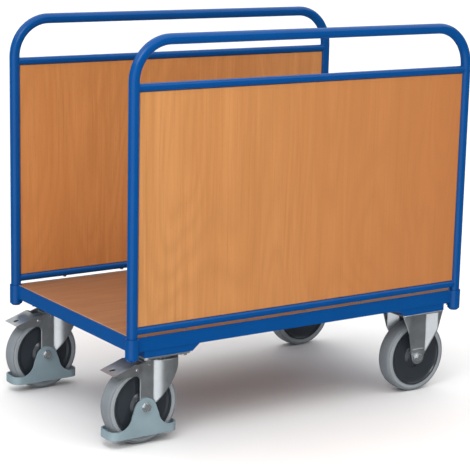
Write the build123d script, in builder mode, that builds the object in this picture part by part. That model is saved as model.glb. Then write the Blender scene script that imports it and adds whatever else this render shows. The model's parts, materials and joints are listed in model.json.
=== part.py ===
from build123d import *
import math
import os

# Platform trolley, millimetres, +Z up, standing on Z = 0.
# +X runs along the trolley from the braked swivel castors to the fixed castors,
# +Y from the near long side to the far one. The origin is the centre of the
# footprint of the whole trolley.

# ---------------------------------------------------------------- deck frame
post_span_x = 1030.0  # between post centres, along the trolley
post_span_y = 630.0  # between post centres, across the trolley
rail_height = 36.0  # T section lying on its side, web at mid height
rail_thickness = 4.0
rail_web_depth = 36.0
rail_proud = 2.6  # rail face outside the line of post centres
board_edge_gap = 0.5

# -------------------------------------------------------- posts and sockets
post_clearance = 0.2  # post in its socket, all round
socket_wall = 3.2
socket_stick_out = 20.0  # closed end of the socket below the rails
cap_height = 8.0
cap_chamfer = 6.0
cap_hole_radius = 2.5
post_radius = 13.45
post_wall = 2.3

# --------------------------------------------------------------- side frames
hoop_rise = 722.0  # centre of the top tube above the deck
hoop_bend_radius = 100.0
crosstube_radius = 10.0
crosstube_wall = 1.5
upper_crosstube_rise = 610.0  # cross tube centres above the deck
lower_crosstube_rise = 18.0
panel_thickness = 10.0
panel_gap = 0.3
panel_edge_radius = 0.8
panel_fixings = 5
panel_fixing_margin = 150.0  # from the post centres
panel_screw_radius = 2.2
panel_pin_radius = 3.0
panel_fixing_depth = 20.0

# ------------------------------------------------------------ deck fixings
deck_screw_radius = 2.2
deck_screw_depth = 11.0
screw_head_radius = 4.5
screw_head_height = 2.5
long_rail_screws = 6
short_rail_screws = 3
deck_screw_margin = 90.0  # from the post centres
bearer_width = 50.0
bearer_height = 18.0
bearer_wall = 3.0
socket_screw_radius = 3.0
socket_screw_stick_out = 3.0
socket_screw_rise = 13.0  # above the closed end of the socket

# ---------------------------------------------------- castor channels (trays)
castor_inset_x = 104.0  # castor centre from the post centres
castor_inset_y = 50.0
channel_depth = 18.0
channel_wall = 3.0
channel_outer_reach = 68.0  # from the castor centre towards the trolley's end
channel_inner_reach = 70.0  # from the castor centre towards the middle, at the bottom
channel_slant = 22.0  # the inner wall leans out by this much at the top
channel_end_inset = 1.5  # channel end behind the rail face

# ------------------------------------------------------------------- castors
wheel_radius = 100.0
wheel_top_z = 2 * wheel_radius
castor_height = wheel_top_z + 30.0  # floor to the top of the mounting plate
plate_length = 135.0
plate_width = 105.0
plate_thickness = 4.0
plate_corner_radius = 12.0
bolt_spacing_x = 105.0
bolt_spacing_y = 74.0
bolt_radius = 5.0
bolt_clearance = 0.5
bolt_flats = 16.0
bolt_head_height = 6.4
bolt_nut_height = 8.0
bolt_thread_stick_out = 4.0

tyre_width = 43.0  # across the tread
tyre_side_step = 0.5
tyre_tread_rise = 0.6
tyre_flat_half = 12.0
tyre_shoulder_radius = wheel_radius - 8.0
tyre_shoulder_fullness = 0.86
rim_radius = wheel_radius - 18.0
rim_half_width = tyre_width / 2 + 1.0
rim_well_radius = rim_radius - 6.0
rim_well_half_width = rim_half_width - 4.0
rim_web_outer_radius = rim_radius - 12.0
rim_web_half_width = rim_well_half_width - 2.5
rim_web_inner_radius = 34.0
rim_boss_radius = 31.0
rim_boss_half_width = rim_half_width - 1.0
rim_step = 2.5
hub_radius = 25.0
hub_half_width = tyre_width / 2 + 4.5
bearing_radius = 17.5
bearing_width = 12.0
bearing_clearance = 0.05
sleeve_radius = 10.0
axle_radius = 6.0
axle_clearance = 0.2
axle_flats = 18.0
axle_head_height = 7.5
axle_nut_height = 10.0
axle_thread_stick_out = 3.0
washer_radius = 12.0
washer_thickness = 2.0

fork_half_gap = hub_half_width + 2.0  # inner faces of the fork or bracket legs
fork_wall = 3.5
trail = 54.0  # axle behind the kingpin
crown_radius = 47.0
crown_setback = 5.0  # its centre behind the kingpin
crown_drop = 13.0  # crown's top below the mounting plate's top
crown_thickness = 4.5
crown_edge_radius = 2.0
leg_half_width = 14.5  # flat part of a fork leg, and its rounded foot
ear_reach = 37.0  # front of the fork's ear, ahead of the axle
ear_root_z = wheel_top_z - 32.0
ear_bottom_z = wheel_top_z - 18.0
ear_top_z = wheel_top_z + 3.0
ear_curl = 5.0
crown_skirt_z = wheel_top_z + 5.0
flank_mid_x = 14.0
flank_mid_z = wheel_top_z - 43.0
flank_low_x = -25.0
flank_low_z = wheel_radius + 7.0

race_radius = 44.0
race_depth = 6.5
race_taper = 30.0
ball_circle_radius = 34.0
ball_radius = 4.0
lower_ball_circle_radius = 21.0
lower_ball_radius = 3.0
lower_race_gap = 4.5  # between the crown and the lower race
ball_clearance = 0.06
ball_count = 20
lower_ball_count = 16
lower_race_radius = 26.0
lower_race_thickness = 4.5
kingpin_radius = 8.0
kingpin_clearance = 0.3
kingpin_nut_flats = 19.0
kingpin_nut_height = 4.0

# ------------------------------------------------------- brake and foot guard
rivet_ahead = 24.0  # pedal rivet ahead of the axle
rivet_z = wheel_top_z - 3.0
rivet_radius = 3.0
rivet_head_radius = 5.0
rivet_head_height = 1.6
rivet_head_taper = 40.0
hinge_clearance = 0.05
pedal_wall = 2.5
pedal_side_gap = 0.3
pedal_tip_ahead = 92.0
pedal_tip_z = wheel_top_z - 10.0
pedal_root_ahead = 28.0
pedal_root_z = wheel_top_z + 12.0
pedal_skirt_z = wheel_top_z - 18.0
pedal_nose_run = 13.0
pedal_knuckle_radius = 14.0
pedal_slot_start = 11.0  # along the tread plate from its tip
pedal_slot_length = 13.0
pedal_slot_width = 15.0
pedal_corner_radius = 3.0
cam_ahead = 35.0
cam_thickness = 4.0
cam_half_width = 15.0
cam_gap = 0.4
shoe_gap = 3.2
shoe_thickness = 3.0
shoe_half_width = 17.0
shoe_front_ahead = 40.0
shoe_pin_ahead = -10.0
shoe_pin_z = wheel_top_z + 6.0
shoe_boss_radius = 5.0

guard_wall = 4.2
guard_gap = 0.3
guard_half_length = wheel_radius - 3.0
guard_corner_radius = 24.0
guard_bottom_z = 24.0
guard_skirt_height = 21.0
bell_foot = guard_half_length - 25.0
bell_flare_x = 49.0
bell_flare_rise = 11.0
bell_waist_x = 38.0
bell_shoulder_x = 30.0
bell_shoulder_rise = wheel_radius - guard_bottom_z - guard_skirt_height
bell_waist_rise = bell_shoulder_rise - 22.0
bell_crown_rise = 22.0  # top of the bell above its shoulders

# ------------------------------------------------------------- fixed bracket
bracket_half_width = 70.0  # at the plate
bracket_foot_half_width = 20.5
bracket_web_half_width = 23.0
bracket_ridge = 50.0  # outermost line of each side
bracket_bolt_room = 14.0  # outermost line beyond the row of plate bolts
bracket_return_depth = 5.0
bracket_plate_length = 142.0
bracket_bead_z = wheel_radius + 22.0
bracket_bead_height = 3.0
bracket_bead_proud = 1.2
bracket_bead_half_width = bracket_foot_half_width - 2.0

# ------------------------------------------------------------ derived places
socket_radius = post_radius + post_clearance + socket_wall
wheel_overhang = trail + wheel_radius - castor_inset_x  # beyond the post line
swivel_end_x = (wheel_overhang - post_span_x - socket_radius) / 2
fixed_end_x = swivel_end_x + post_span_x
near_y = -post_span_y / 2
far_y = post_span_y / 2
middle_x = (swivel_end_x + fixed_end_x) / 2
swivel_castor_x = swivel_end_x + castor_inset_x
fixed_castor_x = fixed_end_x - castor_inset_x
near_castor_y = near_y + castor_inset_y
far_castor_y = far_y - castor_inset_y

rail_bottom_z = castor_height + channel_depth
deck_top_z = rail_bottom_z + rail_height
web_top_z = rail_bottom_z + (rail_height + rail_thickness) / 2
web_bottom_z = web_top_z - rail_thickness
web_start = rail_thickness - rail_proud  # web root, inside the post line
web_end = web_start + rail_web_depth - rail_thickness
socket_bottom_z = rail_bottom_z - socket_stick_out
socket_screw_z = socket_bottom_z + socket_screw_rise
cap_top_z = socket_bottom_z + cap_height
hoop_top_z = deck_top_z + hoop_rise
upper_crosstube_z = deck_top_z + upper_crosstube_rise
lower_crosstube_z = deck_top_z + lower_crosstube_rise

plate_bottom_z = castor_height - plate_thickness
race_bottom_z = plate_bottom_z - race_depth
crown_top_z = castor_height - crown_drop
crown_bottom_z = crown_top_z - crown_thickness
ball_z = (race_bottom_z + crown_top_z) / 2
lower_race_top_z = crown_bottom_z - lower_race_gap
lower_ball_z = (lower_race_top_z + crown_bottom_z) / 2
lower_race_bottom_z = lower_race_top_z - lower_race_thickness
leg_outer = fork_half_gap + fork_wall
guard_inner = leg_outer + guard_gap
guard_outer = guard_inner + guard_wall
bell_top_z = guard_bottom_z + guard_skirt_height + bell_shoulder_rise + bell_crown_rise
bell_top_radius = (bell_shoulder_x**2 + bell_crown_rise**2) / (2 * bell_crown_rise)
bell_centre_z = bell_top_z - bell_top_radius
pedal_inner = leg_outer + pedal_side_gap
pedal_outer = pedal_inner + pedal_wall
shoe_inner_radius = wheel_radius + shoe_gap
shoe_outer_radius = shoe_inner_radius + shoe_thickness


def save(piece, name):
    """Label a finished piece and write its STEP file."""
    piece.part.label = name
    export_step(piece.part, f"parts/{name}.step")


def level(x, y, z):
    """Horizontal plane, sketch axes along +X and +Y."""
    return Plane(origin=(x, y, z))


def upright(x, y, z):
    """Plane along the trolley, sketch axes along +X and +Z, normal towards -Y."""
    return Plane(origin=(x, y, z), x_dir=(1, 0, 0), z_dir=(0, -1, 0))


def across(x, y, z):
    """Plane across the trolley, sketch axes along +Y and +Z, normal towards +X."""
    return Plane(origin=(x, y, z), x_dir=(0, 1, 0), z_dir=(1, 0, 0))


def hexagon(flats):
    """Regular hexagon measured across its flats."""
    RegularPolygon(flats / 2, 6, major_radius=False)


def spread(first, last, count):
    """Evenly spaced values from first to last, both included."""
    step = (last - first) / (count - 1)
    return [first + step * i for i in range(count)]


# ------------------------------------------------------------------- the deck
def deck_screw_points():
    """Screw places along the middle of the four rail webs."""
    web_middle = (web_start + web_end) / 2
    margin = deck_screw_margin
    long_xs = spread(swivel_end_x + margin, fixed_end_x - margin, long_rail_screws)
    short_ys = spread(near_y + margin, far_y - margin, short_rail_screws)
    long_side = [(x, y) for x in long_xs for y in (near_y + web_middle, far_y - web_middle)]
    short_side = [
        (x, y) for y in short_ys for x in (swivel_end_x + web_middle, fixed_end_x - web_middle)
    ]
    return long_side + short_side


def post_points():
    """Centres of the four posts and sockets."""
    return [(x, y) for x in (swivel_end_x, fixed_end_x) for y in (near_y, far_y)]


def make_deck_board():
    edge = 2 * (web_start + board_edge_gap)
    with BuildPart() as deck_board:
        with BuildSketch(level(middle_x, 0, web_top_z)):
            Rectangle(post_span_x - edge, post_span_y - edge)
        extrude(amount=deck_top_z - web_top_z)
        with BuildSketch(level(0, 0, web_top_z)):
            with Locations(*post_points()):
                Circle(socket_radius + board_edge_gap)
        extrude(amount=deck_top_z - web_top_z, mode=Mode.SUBTRACT)
        with BuildSketch(level(0, 0, web_top_z)):
            with Locations(*deck_screw_points()):
                Circle(deck_screw_radius)
        extrude(amount=deck_screw_depth, mode=Mode.SUBTRACT)
    save(deck_board, "deck_board")


def make_rail(name, corner, direction, span):
    """T section rail from one post centre, mitred at its webs and coped to the sockets."""
    x, y = corner
    base = Plane(origin=(x, y, rail_bottom_z), x_dir=direction, z_dir=(0, 0, 1))
    with BuildPart() as rail:
        with BuildSketch(base):
            with Locations((span / 2, rail_thickness / 2 - rail_proud)):
                Rectangle(span, rail_thickness)
        extrude(amount=rail_height)
        with BuildSketch(base.offset(web_bottom_z - rail_bottom_z)):
            Polygon(
                (web_start, web_start),
                (span - web_start, web_start),
                (span - web_end, web_end),
                (web_end, web_end),
                align=None,
            )
        extrude(amount=rail_thickness)
        with BuildSketch(base):
            with Locations((0, 0), (span, 0)):
                Circle(socket_radius)
        extrude(amount=rail_height, mode=Mode.SUBTRACT)
        with BuildSketch(level(0, 0, web_bottom_z)):
            with Locations(*deck_screw_points()):
                Circle(deck_screw_radius)
        extrude(amount=rail_thickness, mode=Mode.SUBTRACT)
    save(rail, name)


def make_centre_bearer():
    """Cross bearer under the middle of the board, between the long rails' webs."""
    length = post_span_y - 2 * web_end
    with BuildPart() as centre_bearer:
        with BuildSketch(upright(middle_x, length / 2, web_top_z)):
            with Locations((0, -bearer_height / 2)):
                Rectangle(bearer_width, bearer_height)
            with Locations((0, -(bearer_height + bearer_wall) / 2)):
                Rectangle(bearer_width - 2 * bearer_wall, bearer_height - bearer_wall,
                          mode=Mode.SUBTRACT)
        extrude(amount=length)
    save(centre_bearer, "centre_bearer")


def make_deck_screws():
    with BuildPart() as deck_screws:
        with BuildSketch(level(0, 0, web_bottom_z - screw_head_height)):
            with Locations(*deck_screw_points()):
                Circle(screw_head_radius)
        extrude(amount=screw_head_height)
        with BuildSketch(level(0, 0, web_bottom_z)):
            with Locations(*deck_screw_points()):
                Circle(deck_screw_radius)
        extrude(amount=rail_thickness + deck_screw_depth)
    save(deck_screws, "deck_screws")


def make_socket(name, x, y):
    """Corner socket: a tube open at the deck, with a hole for its clamp screw."""
    with BuildPart() as socket:
        with BuildSketch(level(x, y, cap_top_z)):
            Circle(socket_radius)
            Circle(post_radius + post_clearance, mode=Mode.SUBTRACT)
        extrude(amount=deck_top_z - cap_top_z)
        with BuildSketch(socket_screw_plane(x, y)):
            Circle(socket_screw_radius)
        extrude(amount=socket_radius, mode=Mode.SUBTRACT)
    save(socket, name)


def socket_screw_plane(x, y):
    """Plane at a post's centre that looks towards the middle of the deck at 45 degrees."""
    inward_x = 1 if x < middle_x else -1
    inward_y = 1 if y < 0 else -1
    return Plane(origin=(x, y, socket_screw_z), z_dir=(inward_x, inward_y, 0))


def make_socket_caps():
    """Tapered steel plugs that close the sockets."""
    with BuildPart() as socket_caps:
        with BuildSketch(level(0, 0, socket_bottom_z)):
            with Locations(*post_points()):
                Circle(socket_radius)
        extrude(amount=cap_height)
        rims = socket_caps.edges().group_by(Axis.Z)[0]
        chamfer(rims, length=cap_chamfer)
        with BuildSketch(level(0, 0, socket_bottom_z)):
            with Locations(*post_points()):
                Circle(cap_hole_radius)
        extrude(amount=cap_height, mode=Mode.SUBTRACT)
    save(socket_caps, "socket_caps")


def make_socket_screws():
    start = post_radius
    end = socket_radius + socket_screw_stick_out
    with BuildPart() as socket_screws:
        for x, y in post_points():
            with BuildSketch(socket_screw_plane(x, y).offset(start)):
                Circle(socket_screw_radius)
            extrude(amount=end - start)
    save(socket_screws, "socket_screws")


# --------------------------------------------------------------- side frames
def make_hoop(name, y):
    """One bent tube: two posts and the top bar, standing in the sockets."""
    with BuildPart() as hoop:
        with BuildLine(upright(0, y, 0)):
            FilletPolyline(
                (swivel_end_x, cap_top_z),
                (swivel_end_x, hoop_top_z),
                (fixed_end_x, hoop_top_z),
                (fixed_end_x, cap_top_z),
                radius=hoop_bend_radius,
            )
        with BuildSketch(level(swivel_end_x, y, cap_top_z)):
            Circle(post_radius)
            Circle(post_radius - post_wall, mode=Mode.SUBTRACT)
        sweep()
    save(hoop, name)


def panel_fixing_points(y):
    """Places of the screws and pins along a panel's lower and upper edges."""
    first = swivel_end_x + panel_fixing_margin
    xs = spread(first, fixed_end_x - panel_fixing_margin, panel_fixings)
    return [(x, y) for x in xs]


def make_crosstube(name, y, z, hole_radius, hole_side):
    """Horizontal tube coped to the two posts, drilled on the panel fixings' side."""
    with BuildPart() as crosstube:
        with BuildSketch(across(swivel_end_x, y, z)):
            Circle(crosstube_radius)
            Circle(crosstube_radius - crosstube_wall, mode=Mode.SUBTRACT)
        extrude(amount=post_span_x)
        with BuildSketch(level(0, 0, z - crosstube_radius)):
            with Locations((swivel_end_x, y), (fixed_end_x, y)):
                Circle(post_radius)
        extrude(amount=2 * crosstube_radius, mode=Mode.SUBTRACT)
        with BuildSketch(level(0, 0, z)):
            with Locations(*panel_fixing_points(y)):
                Circle(hole_radius)
        if hole_side == "both":
            extrude(amount=crosstube_radius, both=True, mode=Mode.SUBTRACT)
        else:
            extrude(amount=-crosstube_radius, mode=Mode.SUBTRACT)
    save(crosstube, name)


def make_panel(name, y):
    """Decor board let in between the posts and the two cross tubes."""
    bottom = lower_crosstube_z + crosstube_radius + panel_gap
    top = upper_crosstube_z - crosstube_radius - panel_gap
    width = post_span_x - 2 * (post_radius + panel_gap)
    with BuildPart() as panel:
        with BuildSketch(upright(middle_x, y, (bottom + top) / 2)):
            Rectangle(width, top - bottom)
        extrude(amount=panel_thickness / 2, both=True)
        chamfer(panel.edges().filter_by(Axis.Y, reverse=True), length=panel_edge_radius)
        with BuildSketch(level(0, 0, bottom)):
            with Locations(*panel_fixing_points(y)):
                Circle(panel_screw_radius)
        extrude(amount=panel_fixing_depth, mode=Mode.SUBTRACT)
        with BuildSketch(level(0, 0, top)):
            with Locations(*panel_fixing_points(y)):
                Circle(panel_pin_radius)
        extrude(amount=-panel_fixing_depth, mode=Mode.SUBTRACT)
    save(panel, name)


def make_panel_screws():
    """Screws up through the lower cross tubes into the panels' lower edges."""
    seat_z = lower_crosstube_z - crosstube_radius
    tip_z = lower_crosstube_z + crosstube_radius + panel_gap + panel_fixing_depth
    points = panel_fixing_points(near_y) + panel_fixing_points(far_y)
    with BuildPart() as panel_screws:
        with BuildSketch(level(0, 0, seat_z - screw_head_height)):
            with Locations(*points):
                Circle(screw_head_radius)
        extrude(amount=screw_head_height)
        with BuildSketch(level(0, 0, seat_z)):
            with Locations(*points):
                Circle(panel_screw_radius)
        extrude(amount=tip_z - seat_z)
    save(panel_screws, "panel_screws")


def make_panel_pins():
    """Pins from inside the upper cross tubes down into the panels' upper edges."""
    pin_top = upper_crosstube_z
    pin_bottom = upper_crosstube_z - crosstube_radius - panel_gap - panel_fixing_depth
    points = panel_fixing_points(near_y) + panel_fixing_points(far_y)
    with BuildPart() as panel_pins:
        with BuildSketch(level(0, 0, pin_bottom)):
            with Locations(*points):
                Circle(panel_pin_radius)
        extrude(amount=pin_top - pin_bottom)
    save(panel_pins, "panel_pins")


# --------------------------------------------------- channels and castor bolts
def bolt_points(x, y):
    """The four plate bolts of the castor centred at x, y."""
    return [
        (x + side_x * bolt_spacing_x / 2, y + side_y * bolt_spacing_y / 2)
        for side_x in (-1, 1)
        for side_y in (-1, 1)
    ]


def make_channel(name, x, inward):
    """Pressed tray under one end: straight outer wall, leaning inner wall, closed ends."""
    depth = channel_depth
    end_y = far_y + rail_proud - channel_end_inset
    outer = -inward * channel_outer_reach
    inner_low = inward * channel_inner_reach
    inner_high = inward * (channel_inner_reach + channel_slant)
    wall = inward * channel_wall
    lean = channel_wall * math.hypot(channel_slant, depth) / depth
    floor_run = channel_slant * channel_wall / depth
    with BuildPart() as channel:
        with BuildSketch(upright(x, end_y, castor_height)):
            Polygon((outer, 0), (inner_low, 0), (inner_high, depth), (outer, depth), align=None)
        extrude(amount=2 * end_y)
        with BuildSketch(upright(x, end_y - channel_wall, castor_height)):
            Polygon(
                (outer + wall, channel_wall),
                (inner_low + inward * (floor_run - lean), channel_wall),
                (inner_high - inward * lean, depth),
                (outer + wall, depth),
                align=None,
            )
        extrude(amount=2 * (end_y - channel_wall), mode=Mode.SUBTRACT)
        with BuildSketch(level(0, 0, castor_height)):
            with Locations(*bolt_points(x, near_castor_y), *bolt_points(x, far_castor_y)):
                Circle(bolt_radius + bolt_clearance)
        extrude(amount=channel_wall, mode=Mode.SUBTRACT)
    save(channel, name)


def make_castor_bolts():
    """Hexagon bolts up through the plates and channels, each with its nut."""
    points = []
    for x in (swivel_castor_x, fixed_castor_x):
        for y in (near_castor_y, far_castor_y):
            points += bolt_points(x, y)
    nut_z = castor_height + channel_wall
    with BuildPart() as castor_bolts:
        with BuildSketch(level(0, 0, plate_bottom_z - bolt_head_height)):
            with Locations(*points):
                hexagon(bolt_flats)
        extrude(amount=bolt_head_height)
        with BuildSketch(level(0, 0, plate_bottom_z)):
            with Locations(*points):
                Circle(bolt_radius)
        extrude(amount=nut_z + bolt_nut_height + bolt_thread_stick_out - plate_bottom_z)
        with BuildSketch(level(0, 0, nut_z)):
            with Locations(*points):
                hexagon(bolt_flats)
                Circle(bolt_radius, mode=Mode.SUBTRACT)
        extrude(amount=bolt_nut_height)
    save(castor_bolts, "castor_bolts")


# --------------------------------------------------------------------- wheels
def make_tyre(name, x, y):
    """Soft tyre: nearly flat tread crown, round shoulders and a step down each side."""
    half = tyre_width / 2
    wall = half + tyre_side_step
    flat_radius = wheel_radius - tyre_tread_rise
    shoulder = (half * tyre_shoulder_fullness, (tyre_shoulder_radius + 3 * wheel_radius) / 4)
    left_foot = (-wall, tyre_shoulder_radius - tyre_side_step)
    left_step = (-half, tyre_shoulder_radius)
    right_step = (half, tyre_shoulder_radius)
    right_foot = (wall, tyre_shoulder_radius - tyre_side_step)
    left_crown = (-tyre_flat_half, flat_radius)
    right_crown = (tyre_flat_half, flat_radius)
    left_seat = (-rim_half_width, rim_radius)
    right_seat = (rim_half_width, rim_radius)
    with BuildPart() as tyre:
        with BuildSketch(across(x, y, wheel_radius)):
            with BuildLine():
                Polyline(left_seat, (-wall, rim_radius + tyre_side_step), left_foot, left_step)
                ThreePointArc(left_step, (-shoulder[0], shoulder[1]), left_crown)
                ThreePointArc(left_crown, (0, wheel_radius), right_crown)
                ThreePointArc(right_crown, shoulder, right_step)
                Polyline(right_step, right_foot, (wall, rim_radius + tyre_side_step),
                         right_seat, left_seat)
            make_face()
        revolve(axis=Axis((x, y, wheel_radius), (0, 1, 0)))
    save(tyre, name)


def make_rim(name, x, y):
    """Moulded rim: hub and boss, thin web, well and tyre seat, the same on both sides."""
    right_side = [
        (hub_half_width, bearing_radius),
        (hub_half_width, hub_radius),
        (rim_boss_half_width, hub_radius + rim_step),
        (rim_boss_half_width - rim_step, rim_boss_radius),
        (rim_web_half_width, rim_web_inner_radius),
        (rim_web_half_width, rim_web_outer_radius),
        (rim_well_half_width, rim_well_radius),
        (rim_half_width, rim_well_radius + rim_step),
        (rim_half_width, rim_radius),
    ]
    left_side = [(-side, radius) for side, radius in reversed(right_side)]
    with BuildPart() as rim:
        with BuildSketch(across(x, y, wheel_radius)):
            Polygon(*right_side, *left_side, align=None)
        revolve(axis=Axis((x, y, wheel_radius), (0, 1, 0)))
    save(rim, name)


def make_bearings(name, x, y):
    """The two hub bearings, flush with the hub's ends."""
    bore = sleeve_radius + bearing_clearance
    with BuildPart() as bearings:
        for side in (-1, 1):
            with BuildSketch(upright(x, y + side * hub_half_width, wheel_radius)):
                Circle(bearing_radius)
                Circle(bore, mode=Mode.SUBTRACT)
            extrude(amount=side * bearing_width)
    save(bearings, name)


def make_axle_set(name, x, y, seat):
    """Axle bolt with its head on the near side, two washers, the nut and the sleeve.

    The washers lie on the faces at the given distance each side of the wheel's middle.
    """
    head_seat = seat + washer_thickness
    bore = axle_radius + axle_clearance
    with BuildPart() as axle_set:
        with BuildSketch(upright(x, y + head_seat + axle_nut_height + axle_thread_stick_out,
                                 wheel_radius)):
            Circle(axle_radius)
        extrude(amount=2 * head_seat + axle_nut_height + axle_thread_stick_out)
        with BuildSketch(upright(x, y - head_seat, wheel_radius)):
            hexagon(axle_flats)
        extrude(amount=axle_head_height)
        with BuildSketch(upright(x, y + head_seat, wheel_radius)):
            hexagon(axle_flats)
            Circle(bore, mode=Mode.SUBTRACT)
        extrude(amount=-axle_nut_height)
        for face_y, thickness in ((y - seat, washer_thickness), (y + seat, -washer_thickness)):
            with BuildSketch(upright(x, face_y, wheel_radius)):
                Circle(washer_radius)
                Circle(bore, mode=Mode.SUBTRACT)
            extrude(amount=thickness)
        with BuildSketch(upright(x, y, wheel_radius)):
            Circle(sleeve_radius)
            Circle(bore, mode=Mode.SUBTRACT)
        extrude(amount=fork_half_gap, both=True)
    save(axle_set, name)


# ------------------------------------------------------------- swivel castors
def plate_outline(length):
    """Castor plate outline with round corners and its four bolt holes."""
    RectangleRounded(length, plate_width, plate_corner_radius)
    with GridLocations(bolt_spacing_x, bolt_spacing_y, 2, 2):
        Circle(bolt_radius + bolt_clearance, mode=Mode.SUBTRACT)


def ball_groove(x, y, centre_z, circle_radius, radius):
    """Cut the running groove of a ball row out of the part being built."""
    with Locations((x, y, centre_z)):
        Torus(circle_radius, radius + ball_clearance, mode=Mode.SUBTRACT)


def make_top_plate(name, x, y):
    """Mounting plate with the pressed race that carries the upper balls."""
    with BuildPart() as top_plate:
        with BuildSketch(level(x, y, plate_bottom_z)):
            plate_outline(plate_length)
        extrude(amount=plate_thickness)
        with BuildSketch(level(x, y, plate_bottom_z)):
            Circle(race_radius)
        extrude(amount=-race_depth, taper=race_taper)
        with BuildSketch(level(x, y, race_bottom_z)):
            Circle(kingpin_radius)
        extrude(amount=race_depth + plate_thickness, mode=Mode.SUBTRACT)
        ball_groove(x, y, ball_z, ball_circle_radius, ball_radius)
    save(top_plate, name)


def make_kingpin(name, x, y):
    """Kingpin riveted in the plate, with the lower race and the nut that holds it up."""
    with BuildPart() as kingpin:
        with BuildSketch(level(x, y, lower_race_bottom_z - kingpin_nut_height)):
            Circle(kingpin_radius)
        extrude(amount=castor_height - lower_race_bottom_z + kingpin_nut_height)
        with BuildSketch(level(x, y, lower_race_bottom_z)):
            Circle(lower_race_radius)
        extrude(amount=lower_race_thickness)
        with BuildSketch(level(x, y, lower_race_bottom_z - kingpin_nut_height)):
            hexagon(kingpin_nut_flats)
        extrude(amount=kingpin_nut_height)
        ball_groove(x, y, lower_ball_z, lower_ball_circle_radius, lower_ball_radius)
    save(kingpin, name)


def make_ball_rows(name, x, y):
    """Upper and lower rows of swivel balls."""
    with BuildPart() as ball_rows:
        with Locations(level(x, y, ball_z)):
            with PolarLocations(ball_circle_radius, ball_count):
                Sphere(ball_radius)
        with Locations(level(x, y, lower_ball_z)):
            with PolarLocations(lower_ball_circle_radius, lower_ball_count):
                Sphere(lower_ball_radius)
    save(ball_rows, name)


def fork_plan(radius, half_width, front):
    """Plan of the fork: the crown's circle joined to two parallel legs."""
    with Locations((crown_setback, 0)):
        Circle(radius)
    with Locations((front / 2, 0)):
        Rectangle(-front, 2 * half_width)


def make_fork(name, x, y):
    """Pressed fork: round crown, skirt and two legs that narrow towards the axle."""
    axle_x = -trail
    ear_front = axle_x - ear_reach
    leg_front = axle_x - leg_half_width
    leg_back = axle_x + leg_half_width
    foot_z = wheel_radius - leg_half_width
    crown_back = crown_setback + crown_radius
    reach = 2 * crown_radius
    with BuildPart() as fork:
        with BuildSketch(level(x, y, foot_z)):
            fork_plan(crown_radius, leg_outer, 1.1 * ear_front)
        extrude(amount=crown_top_z - foot_z)
        crown_rim = fork.edges().filter_by(GeomType.CIRCLE).group_by(Axis.Z)[-1]
        fillet(crown_rim, radius=crown_edge_radius)
        with BuildSketch(level(x, y, foot_z)):
            fork_plan(crown_radius - fork_wall, fork_half_gap, 1.5 * ear_front)
        extrude(amount=crown_bottom_z - foot_z, mode=Mode.SUBTRACT)
        with BuildSketch(level(x, y, crown_bottom_z)):
            with Locations((-reach, 0)):
                Rectangle(2 * (reach - crown_radius), 2 * fork_half_gap)
        extrude(amount=crown_thickness, mode=Mode.SUBTRACT)
        with BuildSketch(upright(x, y, 0)):
            with BuildLine():
                ThreePointArc((leg_back, wheel_radius), (axle_x, foot_z), (leg_front, wheel_radius))
                Line((leg_front, wheel_radius), (leg_front, ear_root_z))
                ThreePointArc(
                    (leg_front, ear_root_z),
                    (leg_front - ear_curl, ear_bottom_z - ear_curl),
                    (leg_front - ear_bottom_z + ear_root_z, ear_bottom_z),
                )
                Polyline(
                    (leg_front - ear_bottom_z + ear_root_z, ear_bottom_z),
                    (ear_front + ear_curl, ear_bottom_z),
                    (ear_front, ear_bottom_z + ear_curl),
                    (ear_front, ear_top_z),
                    (-crown_radius, crown_top_z),
                    (crown_back, crown_top_z),
                    (crown_back, crown_skirt_z),
                    (flank_mid_x, flank_mid_z),
                    (flank_low_x, flank_low_z),
                    (leg_back, wheel_radius),
                )
            make_face()
        extrude(amount=reach, both=True, mode=Mode.INTERSECT)
        for side in (-1, 1):
            with BuildSketch(upright(x, y - side * leg_outer, bell_centre_z)):
                with Locations((axle_x, 0)):
                    Circle(bell_top_radius + guard_gap)
            extrude(amount=side * reach, mode=Mode.SUBTRACT)
        with BuildSketch(level(x, y, crown_bottom_z)):
            Circle(kingpin_radius + kingpin_clearance)
        extrude(amount=crown_thickness, mode=Mode.SUBTRACT)
        with BuildSketch(upright(x, y, 0)):
            with Locations((axle_x, wheel_radius)):
                Circle(axle_radius + axle_clearance)
            with Locations((axle_x - rivet_ahead, rivet_z), (axle_x - shoe_pin_ahead, shoe_pin_z)):
                Circle(rivet_radius)
        extrude(amount=reach, both=True, mode=Mode.SUBTRACT)
        ball_groove(x, y, ball_z, ball_circle_radius, ball_radius)
        ball_groove(x, y, lower_ball_z, lower_ball_circle_radius, lower_ball_radius)
    save(fork, name)


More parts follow.
